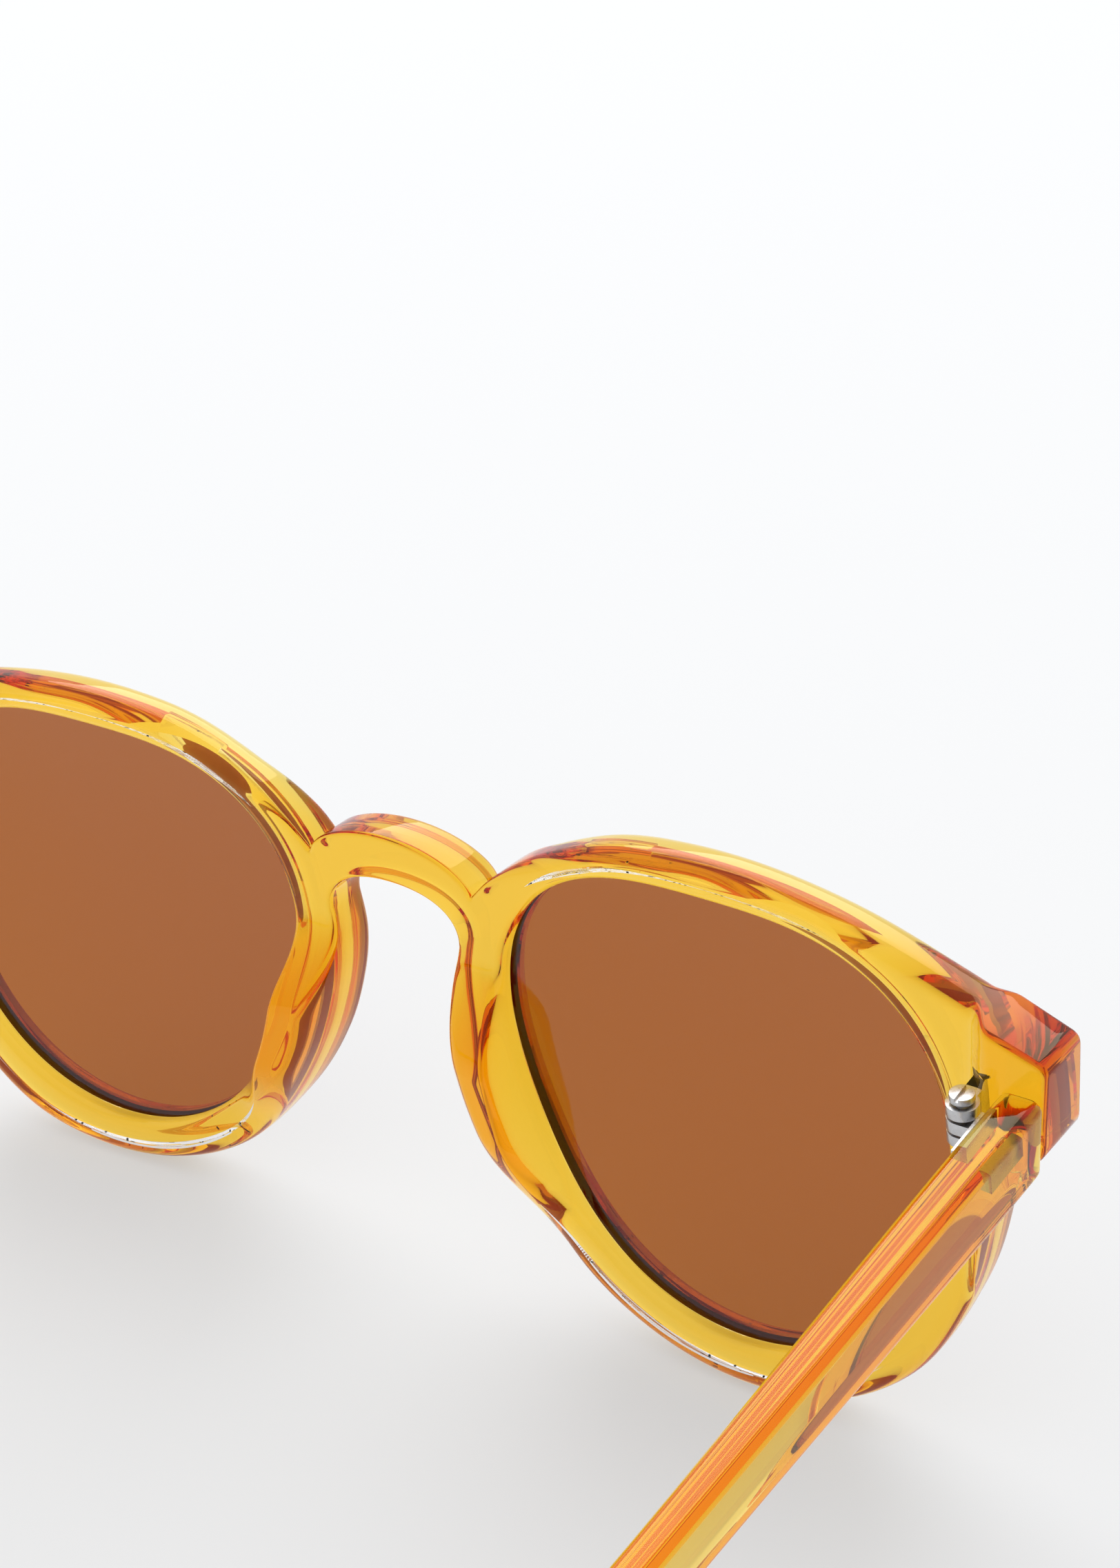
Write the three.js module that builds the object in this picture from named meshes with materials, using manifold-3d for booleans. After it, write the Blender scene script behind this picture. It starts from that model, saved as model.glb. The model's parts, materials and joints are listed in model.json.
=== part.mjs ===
// Full-rim sunglasses: one moulded translucent front with a keyhole bridge and its own nose pads,
// two grooved-in lenses, two temples and two three-knuckle metal hinges with their screws.
// Millimetres, +Z up. The front faces -Y, the temples run back along +Y, the wearer's right is -X.
// The origin is on the surface that the glasses stand on, under the middle of the whole pair.
import * as THREE from 'three';
import { mergeVertices } from 'three/addons/utils/BufferGeometryUtils.js';
import Module from 'manifold-3d';

const wasm = await Module();
wasm.setup();

// ---- driving dimensions -------------------------------------------------------------------
const CLEARANCE = 0.3; // between pieces that would touch
const TILT = THREE.MathUtils.degToRad(7.5); // the front leans in at the cheeks by this angle
const LENS_CENTRE_X = 37.9;
const OPENING_RADIUS = 24.5; // mean radius of a lens opening
const WRAP_RADIUS = 870; // the front's curve across the face
const BROW_RADIUS = 242; // and from brow to cheek
const REAR_FACE = 0.6; // the rear face lies this far behind the datum plane
const FRONT_FACE = 4.8; // and the front face this far ahead of it
const REAR_ROUND = 1.8; // edge radii of the front
const FRONT_ROUND = 2.2;
const END_ROUND = 0.6; // edge radius of the end pieces
const OPENING_ROUND = 0.9;
const GROOVE_DEPTH = 0.8;
const LENS_THICKNESS = 2;
const LENS_REAR = 1.1; // the lens's rear face at its rim, ahead of the datum plane
const LENS_BULGE = 1.2;
const PAD_HEIGHT = 4.8; // the nose pads stand this far behind the rear face
const PAD_FOOT = [-22, -9]; // a pad rises between these heights from the lens centre's level
const PAD_HEAD = [-3, 8]; // and sinks back between these
const PAD_SIDE = [24, 30]; // no pad stands further out than this
const PAD_RIDGE = 1.45; // from the opening to the pad's ridge, at the lens centre's level
const PAD_RIDGE_DRIFT = 0.078; // and how much further it gets for each millimetre below that
const PAD_STEEPNESS = 1.7;
const PAD_FALL = 0.12; // share of its height that the pad loses from its ridge to the outline
const PAD_ROUND = 0.6; // extra edge radius on a full-height pad
const PAD_FLARE = 0.16; // and lean outward this much for each millimetre that they stand back
const HALF_WIDTH = 72.8; // outer side of an end piece and of a temple
const END_FACE = 5.9; // the flat rear face of an end piece, behind the datum plane
const END_BLEND = [64.2, 67]; // the rim grows into the end piece between these distances from the middle
const HINGE_X = 65.9;
const HINGE_BACK = 7.4; // hinge axis behind the datum plane
const HINGE_UP = 11.7; // hinge centre above the lens centre
const KNUCKLE_RADIUS = 1.5;
const KNUCKLE_BORE = 0.85;
const SCREW_RADIUS = 0.5;
const MIDDLE_KNUCKLE = 1.2; // height of the temple leaf's knuckle
const OUTER_KNUCKLE = 1.1; // height of each of the front leaf's two knuckles
const TEMPLE_STRAIGHT = 78; // from the butt end to the start of the ear bend
const TEMPLE_BEND_RADIUS = 32;
const TEMPLE_BEND = THREE.MathUtils.degToRad(48);
const TEMPLE_TIP = 40.2; // straight run after the bend
const TEMPLE_HEIGHT = { butt: 7.9, slim: 6.5, tip: 7.4 };
const TEMPLE_THICKNESS = { butt: 4.2, slim: 3.4, tip: 2.7 };
const TEMPLE_TAPER = 64; // the section slims down over this run from the butt end
const TEMPLE_WIDENS = 80; // and grows again from here to the tip
const TEMPLE_INWARD = 0.028; // sideways run of the temple for each millimetre towards its tip
const TIP_INWARD = 1.5; // and how much further in the tip bends
const TEMPLE_TOP = 15.8; // top edge of the straight run above the lens centre's level

const AMBER = { color: 0xf4b52c, roughness: 0.08, metalness: 0 };
const BROWN = { color: 0x9c5f3b, roughness: 0.05, metalness: 0 };
const STEEL = { color: 0xb9bcc0, roughness: 0.3, metalness: 1 };

// ---- solid helpers ------------------------------------------------------------------------
function geometryFrom(positions, indices) {
  const geometry = new THREE.BufferGeometry();
  geometry.setAttribute('position', new THREE.Float32BufferAttribute(positions, 3));
  geometry.setIndex(indices);
  return geometry;
}

function toManifold(geometry) {
  const bare = geometry.clone();
  bare.deleteAttribute('normal');
  bare.deleteAttribute('uv');
  const merged = mergeVertices(bare, 1e-4);
  const vertProperties = new Float32Array(merged.attributes.position.array);
  const triVerts = new Uint32Array(merged.index.array);
  return new wasm.Manifold(new wasm.Mesh({ numProp: 3, vertProperties, triVerts }));
}

function fromManifold(solid) {
  const mesh = solid.getMesh();
  return geometryFrom(Array.from(mesh.vertProperties), Array.from(mesh.triVerts));
}

function cut(geometry, cutters) {
  return fromManifold(cutters.reduce((solid, cutter) => solid.subtract(toManifold(cutter)), toManifold(geometry)));
}

function join(geometries) {
  return fromManifold(geometries.map(toManifold).reduce((whole, piece) => whole.add(piece)));
}

function block(size, centre) {
  return new THREE.BoxGeometry(...size).translate(...centre);
}

function post(radius, height, centre, sides = 16) {
  return new THREE.CylinderGeometry(radius, radius, height, sides).rotateX(Math.PI / 2).translate(...centre);
}

// A solid through a row of sections, each a closed ring of the same number of points.
function loft(sections) {
  const count = sections[0].length;
  const positions = sections.flat().flatMap((point) => point.toArray());
  const indices = [];
  for (let s = 0; s + 1 < sections.length; s += 1) {
    for (let p = 0; p < count; p += 1) {
      const next = (p + 1) % count;
      const a = s * count;
      const b = a + count;
      indices.push(a + p, a + next, b + next, a + p, b + next, b + p);
    }
  }
  const last = (sections.length - 1) * count;
  for (let p = 1; p + 1 < count; p += 1) {
    indices.push(0, p + 1, p, last, last + p, last + p + 1);
  }
  return geometryFrom(positions, indices);
}

// ---- outline of the front, for the half at positive x --------------------------------------
function openingRadius(angle) {
  const wide = 0.35 * Math.cos(2 * angle) - 0.5 * Math.sin(2 * angle);
  const taper = -0.2 * Math.cos(3 * angle) + 1.2 * Math.sin(3 * angle);
  const square = -0.5 * Math.cos(4 * angle) - 0.2 * Math.sin(4 * angle);
  return OPENING_RADIUS + wide + taper + square;
}

function openingPoint(angle, growth = 0) {
  const radius = openingRadius(angle) + growth;
  return new THREE.Vector2(LENS_CENTRE_X + radius * Math.cos(angle), radius * Math.sin(angle));
}

const points = (...pairs) => pairs.map(([x, z]) => new THREE.Vector2(x, z));
const NOTCH = new THREE.Vector2(9.8, 14.8); // where the bridge's top meets the rim
const ARCH_FOOT = new THREE.Vector2(7.7, 8.6); // where the bridge's underside meets the nose side
const BRIDGE_TOP = 18.8;
const BRIDGE_ARCH = 13.6;
const END_TOP = 17.2;
const END_BOTTOM = 9.3;
const END_CORNER = [71.6, 18.5];

const endPiece = new THREE.CurvePath();
endPiece.add(new THREE.CubicBezierCurve(...points([67, 5], [67.3, 7.6], [68.2, 8], [70.6, 8.2])));
endPiece.add(new THREE.QuadraticBezierCurve(...points([70.6, 8.2], [HALF_WIDTH, 8.3], [HALF_WIDTH, END_BOTTOM + 0.8])));
endPiece.add(new THREE.LineCurve(...points([HALF_WIDTH, END_BOTTOM + 0.8], [HALF_WIDTH, END_TOP])));
endPiece.add(new THREE.QuadraticBezierCurve(...points([HALF_WIDTH, END_TOP], [HALF_WIDTH, 18.2], END_CORNER)));
const rimTop = new THREE.SplineCurve(points(
  END_CORNER, [62, 21.7], [52, 24.6], [42, 26], [33, 25.9], [25, 24.5], [17, 20.9], [12.4, 17.6], [9.8, 14.8],
));
const noseAndCheek = new THREE.SplineCurve(points(
  [7.7, 8.6], [7.1, 4.2], [7.8, -1], [10.1, -8], [14.7, -16], [21.8, -23.8], [31, -28.3], [41, -29.5],
  [51, -27.4], [59.4, -20.8], [64.6, -11], [66.6, -2.5], [67, 5],
));
const bridgeTop = new THREE.CubicBezierCurve(NOTCH, ...points([9.2, 16.8], [5.2, BRIDGE_TOP], [0, BRIDGE_TOP]));
const bridgeArch = new THREE.CubicBezierCurve(ARCH_FOOT, ...points([7.9, 12], [4.6, BRIDGE_ARCH], [0, BRIDGE_ARCH]));

const edgePolyline = [
  endPiece.curves.map((curve) => curve.getPoints(6)).flat(),
  rimTop.getSpacedPoints(80),
  noseAndCheek.getSpacedPoints(160),
  bridgeTop.getPoints(20),
  bridgeArch.getPoints(20),
];

function distanceToEdge(point) {
  let best = Infinity;
  for (const line of edgePolyline) {
    for (let i = 0; i + 1 < line.length; i += 1) {
      const along = line[i + 1].clone().sub(line[i]);
      const reach = along.lengthSq() || 1;
      const t = THREE.MathUtils.clamp(point.clone().sub(line[i]).dot(along) / reach, 0, 1);
      best = Math.min(best, line[i].clone().addScaledVector(along, t).distanceTo(point));
    }
  }
  return best;
}

function distanceToOpening(point) {
  const offset = point.clone().sub(new THREE.Vector2(LENS_CENTRE_X, 0));
  return Math.max(offset.length() - openingRadius(Math.atan2(offset.y, offset.x)), 0);
}

// ---- height of the front's two faces --------------------------------------------------------
const smooth = (value, low, high) => THREE.MathUtils.smoothstep(value, low, high);

function datum(point) {
  return (point.x * point.x) / (2 * WRAP_RADIUS) + (point.y * point.y) / (2 * BROW_RADIUS);
}

function roundOver(distance, radius) {
  if (distance >= radius) return 0;
  return radius - Math.sqrt(radius * radius - (radius - distance) ** 2);
}

// The pad's ridge runs close to the lens, so this is how far from the opening it lies.
function ridgeOffset(up) {
  return PAD_RIDGE + PAD_RIDGE_DRIFT * Math.max(-up, 0);
}

function padShare(point, edge) {
  const alongNose = smooth(point.y, ...PAD_FOOT) * (1 - smooth(point.y, ...PAD_HEAD));
  const noseSide = 1 - smooth(point.x, ...PAD_SIDE);
  const across = distanceToOpening(point);
  const ridge = ridgeOffset(point.y);
  const rise = 1 - (1 - Math.min(across / ridge, 1)) ** PAD_STEEPNESS;
  const flank = Math.max(across - ridge, 0);
  return alongNose * noseSide * rise * (1 - (PAD_FALL * flank) / Math.max(flank + edge, 0.01));
}

function rearHeight(point) {
  const edge = distanceToEdge(point);
  const pad = padShare(point, edge);
  const plate = datum(point) + REAR_FACE + PAD_HEIGHT * pad;
  const atEnd = smooth(point.x, ...END_BLEND);
  const height = THREE.MathUtils.lerp(plate, END_FACE, atEnd);
  const radius = THREE.MathUtils.lerp(REAR_ROUND, END_ROUND, atEnd) + PAD_ROUND * pad;
  return height - roundOver(edge, radius) - roundOver(distanceToOpening(point), OPENING_ROUND);
}

function frontHeight(point) {
  const radius = THREE.MathUtils.lerp(FRONT_ROUND, END_ROUND, smooth(point.x, ...END_BLEND));
  const rounding = roundOver(distanceToEdge(point), radius);
  return datum(point) - FRONT_FACE + rounding + roundOver(distanceToOpening(point), OPENING_ROUND);
}

// ---- the front, built as a plate between its outline and the lens openings ------------------
function lift(point, height) {
  const behind = Math.max(height - datum(point) - REAR_FACE, 0);
  const onPad = point.x < 30 ? behind : 0;
  const onEnd = point.x > 60 ? behind : 0;
  return new THREE.Vector3(point.x + PAD_FLARE * onPad, height, point.y - Math.tan(TILT) * onEnd);
}

const rearPoint = (point) => lift(point, rearHeight(point));
const frontPoint = (point) => lift(point, frontHeight(point));
const bridgeRows = [0, 0.06, 0.2, 0.5, 0.8, 0.94, 1];

function outlineColumns() {
  const interfaceRows = bridgeRows.map((t) => NOTCH.clone().lerp(ARCH_FOOT, t));
  const end = endPiece.curves.flatMap((curve) => curve.getPoints(2).slice(0, -1));
  const top = rimTop.getSpacedPoints(18).slice(0, -1);
  const nose = noseAndCheek.getSpacedPoints(38).slice(1, -1);
  return { columns: [...end, ...top, ...interfaceRows, ...nose], first: end.length + top.length };
}

function rimSection(outer) {
  const angle = Math.atan2(outer.y, outer.x - LENS_CENTRE_X);
  const inner = openingPoint(angle);
  const width = inner.distanceTo(outer);
  const between = (distance) => inner.clone().lerp(outer, distance / width);
  const ridge = ridgeOffset(inner.y);
  const stops = [0, 0.3, OPENING_ROUND, ridge, (ridge + width) / 2, width - 1.3, width - 0.4, width];
  const face = stops.map(between);
  const grooveRear = -LENS_REAR + CLEARANCE;
  const grooveFront = -LENS_REAR - LENS_THICKNESS - CLEARANCE;
  const groovePoint = (growth, back) => {
    const point = openingPoint(angle, growth);
    return new THREE.Vector3(point.x, datum(inner) + back, point.y);
  };
  return [
    ...face.map(rearPoint),
    ...face.map(frontPoint).reverse(),
    groovePoint(0, grooveFront),
    groovePoint(GROOVE_DEPTH, grooveFront),
    groovePoint(GROOVE_DEPTH, grooveRear),
    groovePoint(0, grooveRear),
  ];
}

function halfFront() {
  const { columns, first } = outlineColumns();
  const positions = [];
  const indices = [];
  const quad = (a, b, c, d) => {
    const start = positions.length / 3;
    [a, b, c, d].forEach((vertex) => positions.push(...vertex.toArray()));
    indices.push(start, start + 1, start + 2, start, start + 2, start + 3);
  };
  const sections = columns.map(rimSection);
  const wall = 7; // the section's outer wall lies between this point and the next
  sections.forEach((section, i) => {
    const next = sections[(i + 1) % sections.length];
    const onBridge = i >= first && i < first + bridgeRows.length - 1;
    section.forEach((vertex, j) => {
      if (onBridge && j === wall) return;
      const k = (j + 1) % section.length;
      quad(vertex, next[j], next[k], section[k]);
    });
  });
  const steps = 6;
  const bridgePoint = (k, row) => {
    if (k === 0) return NOTCH.clone().lerp(ARCH_FOOT, row);
    return bridgeTop.getPoint(k / steps).lerp(bridgeArch.getPoint(k / steps), row);
  };
  for (let k = 0; k < steps; k += 1) {
    const here = bridgeRows.map((row) => bridgePoint(k, row));
    const there = bridgeRows.map((row) => bridgePoint(k + 1, row));
    const last = bridgeRows.length - 1;
    for (let j = 0; j < last; j += 1) {
      quad(...[here[j], here[j + 1], there[j + 1], there[j]].map(rearPoint));
      quad(...[here[j], there[j], there[j + 1], here[j + 1]].map(frontPoint));
    }
    quad(rearPoint(here[0]), rearPoint(there[0]), frontPoint(there[0]), frontPoint(here[0]));
    quad(rearPoint(there[last]), rearPoint(here[last]), frontPoint(here[last]), frontPoint(there[last]));
  }
  return { positions, indices };
}

function frontShell() {
  const { positions, indices } = halfFront();
  const mirrored = positions.map((value, i) => (i % 3 === 0 ? -value : value));
  const offset = positions.length / 3;
  const flipped = [];
  for (let i = 0; i < indices.length; i += 3) {
    flipped.push(indices[i] + offset, indices[i + 2] + offset, indices[i + 1] + offset);
  }
  return mergeVertices(geometryFrom([...positions, ...mirrored], [...indices, ...flipped]), 1e-3);
}

// ---- lenses -----------------------------------------------------------------------------
function lens(side) {
  const spokes = 48;
  const rings = [1, 0.75, 0.4];
  const facePoint = (angle, share, back) => {
    const point = openingPoint(angle, GROOVE_DEPTH - CLEARANCE);
    const flat = new THREE.Vector2(LENS_CENTRE_X, 0).lerp(point, share);
    const bulge = LENS_BULGE * (1 - share * share);
    return new THREE.Vector3(flat.x, datum(flat) - back - bulge, flat.y);
  };
  const angles = Array.from({ length: spokes }, (_, i) => (i / spokes) * 2 * Math.PI);
  const rear = rings.map((share) => angles.map((angle) => facePoint(angle, share, LENS_REAR)));
  const front = rings.map((share) => angles.map((angle) => facePoint(angle, share, LENS_REAR + LENS_THICKNESS)));
  const rows = [...rear].reverse().concat(front);
  const positions = rows.flat().flatMap((point) => [side * point.x, point.y, point.z]);
  const indices = [];
  const triangle = (a, b, c) => indices.push(...(side > 0 ? [a, b, c] : [a, c, b]));
  for (let r = 0; r + 1 < rows.length; r += 1) {
    for (let i = 0; i < spokes; i += 1) {
      const a = r * spokes;
      const b = a + spokes;
      const next = (i + 1) % spokes;
      triangle(a + i, a + next, b + next);
      triangle(a + i, b + next, b + i);
    }
  }
  const centres = [facePoint(0, 0, LENS_REAR), facePoint(0, 0, LENS_REAR + LENS_THICKNESS)];
  centres.forEach((point) => positions.push(side * point.x, point.y, point.z));
  const hub = rows.length * spokes;
  const last = (rows.length - 1) * spokes;
  for (let i = 0; i < spokes; i += 1) {
    const next = (i + 1) % spokes;
    triangle(hub, next, i);
    triangle(hub + 1, last + i, last + next);
  }
  return geometryFrom(positions, indices);
}

// ---- placing the leaning front over the surface ---------------------------------------------
function lean(geometry) {
  return geometry.rotateX(TILT);
}

const hingeY = HINGE_BACK * Math.cos(TILT) - HINGE_UP * Math.sin(TILT);
const hingeZ = HINGE_BACK * Math.sin(TILT) + HINGE_UP * Math.cos(TILT);

// ---- hinges: the front leaf has two knuckles, the temple leaf has the middle one --------------
const knuckleShift = MIDDLE_KNUCKLE / 2 + CLEARANCE + OUTER_KNUCKLE / 2;
const barrelHalf = knuckleShift + OUTER_KNUCKLE / 2;
const FRONT_ANCHOR = { width: 1.6, from: -5.4, to: -2 };
const TEMPLE_LEAF = { inner: 67.8, outer: 69.3, height: 3.4, from: 0.2, to: 5.8 };

function frontLeaf(side) {
  const x = side * HINGE_X;
  const { width, from, to } = FRONT_ANCHOR;
  const pieces = [];
  for (const up of [knuckleShift, -knuckleShift]) {
    pieces.push(post(KNUCKLE_RADIUS, OUTER_KNUCKLE, [x, hingeY, hingeZ + up]));
    pieces.push(block([width, -to + 0.2, OUTER_KNUCKLE], [x, hingeY + (to - 0.2) / 2, hingeZ + up]));
  }
  pieces.push(block([width, to - from, 2 * barrelHalf], [x, hingeY + (from + to) / 2, hingeZ]));
  return cut(join(pieces), [post(KNUCKLE_BORE, 8, [x, hingeY, hingeZ])]);
}

function frontPocket(side) {
  const { width, from } = FRONT_ANCHOR;
  const depth = -from + CLEARANCE;
  const size = [width + 2 * CLEARANCE, depth, 2 * (barrelHalf + CLEARANCE)];
  return block(size, [side * HINGE_X, hingeY - depth / 2, hingeZ]);
}

function templeLeaf(side) {
  const { inner, outer, height, from, to } = TEMPLE_LEAF;
  const x = side * HINGE_X;
  const armReach = outer - HINGE_X;
  const pieces = [
    post(KNUCKLE_RADIUS, MIDDLE_KNUCKLE, [x, hingeY, hingeZ]),
    block([armReach, 1.3, MIDDLE_KNUCKLE], [x + (side * armReach) / 2, hingeY + 0.85, hingeZ]),
    block([outer - inner, to - from, height], [(side * (inner + outer)) / 2, hingeY + (from + to) / 2, hingeZ]),
  ];
  return cut(join(pieces), [post(KNUCKLE_BORE, 8, [x, hingeY, hingeZ])]);
}

function templePocket(side) {
  const { inner, outer, height, from, to } = TEMPLE_LEAF;
  const width = outer - inner + 2 * CLEARANCE;
  const size = [width, to - from + 2 * CLEARANCE, height + 2 * CLEARANCE];
  return block(size, [(side * (inner + outer)) / 2, hingeY + (from + to) / 2, hingeZ]);
}

function screw(side) {
  const x = side * HINGE_X;
  const headBottom = barrelHalf + CLEARANCE;
  const shankLength = barrelHalf + headBottom + 0.1;
  const shank = post(SCREW_RADIUS, shankLength, [x, hingeY, hingeZ + headBottom - shankLength / 2], 16);
  const head = post(1.15, 0.7, [x, hingeY, hingeZ + headBottom + 0.34]);
  const slot = block([0.35, 3, 0.4], [x, hingeY, hingeZ + headBottom + 0.6]);
  return cut(join([shank, head]), [slot]);
}

// ---- temples ------------------------------------------------------------------------------
function buttY(z) {
  const back = END_FACE + CLEARANCE;
  return back * Math.cos(TILT) - Math.tan(TILT) * (z - back * Math.sin(TILT));
}

const bendLength = TEMPLE_BEND_RADIUS * TEMPLE_BEND;
const templeLength = TEMPLE_STRAIGHT + bendLength + TEMPLE_TIP;

// Height, thickness and centre of the temple's section at a distance from its butt end.
function templeSize(run) {
  const taper = smooth(run, 0, TEMPLE_TAPER);
  const widen = smooth(run, TEMPLE_WIDENS, templeLength);
  const size = ({ butt, slim, tip }) => butt + (slim - butt) * taper + (tip - slim) * widen;
  const inward = TEMPLE_INWARD * run + TIP_INWARD * widen * widen;
  return { height: size(TEMPLE_HEIGHT), thickness: size(TEMPLE_THICKNESS), inward };
}

function templeAxis(run) {
  const straight = Math.min(run, TEMPLE_STRAIGHT);
  const turned = THREE.MathUtils.clamp(run - TEMPLE_STRAIGHT, 0, bendLength);
  const angle = turned / TEMPLE_BEND_RADIUS;
  const tip = Math.max(run - TEMPLE_STRAIGHT - bendLength, 0);
  const y = straight + TEMPLE_BEND_RADIUS * Math.sin(angle) + tip * Math.cos(angle);
  const z = -TEMPLE_BEND_RADIUS * (1 - Math.cos(angle)) - tip * Math.sin(angle);
  return { y, z, angle };
}

function templeSection(run, side, shrink = 0) {
  const { height, thickness, inward } = templeSize(run);
  const axis = templeAxis(run);
  const top = TEMPLE_TOP - height / 2;
  const tall = Math.max(height / 2 - shrink, 0.4);
  const wide = Math.max(thickness / 2 - shrink * 0.35, 0.4);
  const edge = Math.min(1.2, wide * 0.6, tall * 0.6);
  const corners = [[1, 1], [-1, 1], [-1, -1], [1, -1]];
  const ring = corners.flatMap(([sx, sz], quarter) => [0, 0.5, 1].map((share) => {
    const turn = ((quarter + share) * Math.PI) / 2;
    const across = sx * (wide - edge) + edge * Math.cos(turn);
    const up = sz * (tall - edge) + edge * Math.sin(turn);
    return [across, up];
  }));
  const points3 = ring.map(([across, up]) => {
    const x = HALF_WIDTH - thickness / 2 - inward + across;
    const z = top + axis.z + up * Math.cos(axis.angle);
    const y = axis.y + up * Math.sin(axis.angle);
    const start = buttY(z);
    return new THREE.Vector3(side * x, run === 0 ? start : buttY(top) + y, z);
  });
  return side > 0 ? points3 : points3.reverse();
}

function temple(side) {
  const straight = [0, 4, 12, 20, 28, 36, 44, 52, 60, 68, TEMPLE_STRAIGHT];
  const bend = [83, 88, 93, 98, TEMPLE_STRAIGHT + bendLength];
  const behindEar = [112, 120, 128, 136, templeLength - 3];
  const body = [...straight, ...bend, ...behindEar].map((run) => templeSection(run, side));
  const ends = [[templeLength - 1.2, 0.9], [templeLength - 0.2, 2.2]];
  const tip = ends.map(([run, shrink]) => templeSection(run, side, shrink));
  return loft([...body, ...tip].reverse());
}

// ---- assembly -----------------------------------------------------------------------------
function named(name, geometry, finish) {
  const flat = geometry.index ? geometry.toNonIndexed() : geometry;
  flat.computeVertexNormals();
  const mesh = new THREE.Mesh(flat, new THREE.MeshStandardMaterial(finish));
  mesh.name = name;
  return mesh;
}

const sunglasses = new THREE.Group();
sunglasses.name = 'sunglasses';
const front = cut(lean(frontShell()), [frontPocket(1), frontPocket(-1)]);
sunglasses.add(named('front_frame', front, AMBER));
for (const [word, side] of [['left', 1], ['right', -1]]) {
  sunglasses.add(named(`lens_${word}`, lean(lens(side)), BROWN));
  sunglasses.add(named(`temple_${word}`, cut(temple(side), [templePocket(side)]), AMBER));
  sunglasses.add(named(`hinge_front_leaf_${word}`, frontLeaf(side), STEEL));
  sunglasses.add(named(`hinge_temple_leaf_${word}`, templeLeaf(side), STEEL));
  sunglasses.add(named(`hinge_screw_${word}`, screw(side), STEEL));
}

const bounds = new THREE.Box3().setFromObject(sunglasses);
sunglasses.position.set(0, -(bounds.min.y + bounds.max.y) / 2, -bounds.min.z);

export default sunglasses;
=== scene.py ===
"""Looks for the sunglasses: smooth translucent amber front and temples, brown lenses and steel hinges.

Shapes are worked out in the front's own frame, in millimetres: x across the face (the wearer's left is
positive), y behind the datum plane and z above the lens centres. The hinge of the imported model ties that
frame to the row's frame, in metres.
"""
import json
import math

import bmesh
import bpy
import numpy as np
from mathutils import Matrix, Vector


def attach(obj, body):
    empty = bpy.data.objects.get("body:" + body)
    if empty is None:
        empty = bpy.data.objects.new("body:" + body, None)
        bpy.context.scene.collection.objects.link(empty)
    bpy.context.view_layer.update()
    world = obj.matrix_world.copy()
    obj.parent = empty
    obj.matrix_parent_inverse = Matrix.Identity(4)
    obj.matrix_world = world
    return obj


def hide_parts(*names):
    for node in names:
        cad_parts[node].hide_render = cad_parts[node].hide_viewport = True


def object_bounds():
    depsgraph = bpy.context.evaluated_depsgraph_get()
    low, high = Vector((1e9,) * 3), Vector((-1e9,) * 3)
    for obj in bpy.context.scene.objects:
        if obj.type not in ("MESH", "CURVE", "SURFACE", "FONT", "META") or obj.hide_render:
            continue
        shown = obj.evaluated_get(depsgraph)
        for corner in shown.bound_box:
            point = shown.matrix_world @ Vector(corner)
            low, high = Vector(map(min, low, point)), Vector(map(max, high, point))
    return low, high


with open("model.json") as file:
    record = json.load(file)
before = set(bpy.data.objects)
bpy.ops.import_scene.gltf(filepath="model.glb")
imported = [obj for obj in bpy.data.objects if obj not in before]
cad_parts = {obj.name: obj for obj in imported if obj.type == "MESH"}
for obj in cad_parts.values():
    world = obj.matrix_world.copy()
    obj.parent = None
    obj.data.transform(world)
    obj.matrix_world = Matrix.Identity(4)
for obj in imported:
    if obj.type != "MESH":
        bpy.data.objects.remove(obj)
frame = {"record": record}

cad_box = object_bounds()

# ---- driving dimensions, as in the CAD model (mm, degrees) --------------------------------------
TILT = math.radians(7.5)
LENS_CENTRE_X = 37.9
OPENING_RADIUS = 24.5
WRAP_RADIUS = 870
BROW_RADIUS = 242
REAR_FACE = 0.6
FRONT_FACE = 4.8
REAR_ROUND = 1.8
FRONT_ROUND = 2.2
BRIDGE_REAR_ROUND = 0.5
BRIDGE_FRONT_ROUND = 1.0
BRIDGE_BLEND = (11, 19)
END_ROUND = 0.6
OPENING_ROUND = 0.9
GROOVE_DEPTH = 0.8
CLEARANCE = 0.3
LENS_THICKNESS = 2.0
LENS_SHOULDER = 0.15
LENS_REAR = 1.1
LENS_BULGE = 1.2
PAD_HEIGHT = 4.8
PAD_FLARE = 0.16
HALF_WIDTH = 72.8
END_FACE = 5.9
END_BLEND = (64.2, 67)
PAD_ROUND = 1.0
HINGE_X = 65.9
HINGE_BACK = 7.4
HINGE_UP = 11.7
NOTCH = (9.8, 14.8)
ARCH_FOOT = (7.7, 8.6)
BRIDGE_TOP = 18.8
BRIDGE_ARCH = 13.6
END_TOP = 17.2
END_BOTTOM = 9.3
END_CORNER = (71.6, 18.5)


# ---- outline curves ------------------------------------------------------------------------------
def bezier(points, count):
    t = np.linspace(0, 1, count)[:, None]
    points = np.array(points, float)[:, None, :]
    while len(points) > 1:
        points = points[:-1] * (1 - t) + points[1:] * t
    return points[0]


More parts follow.
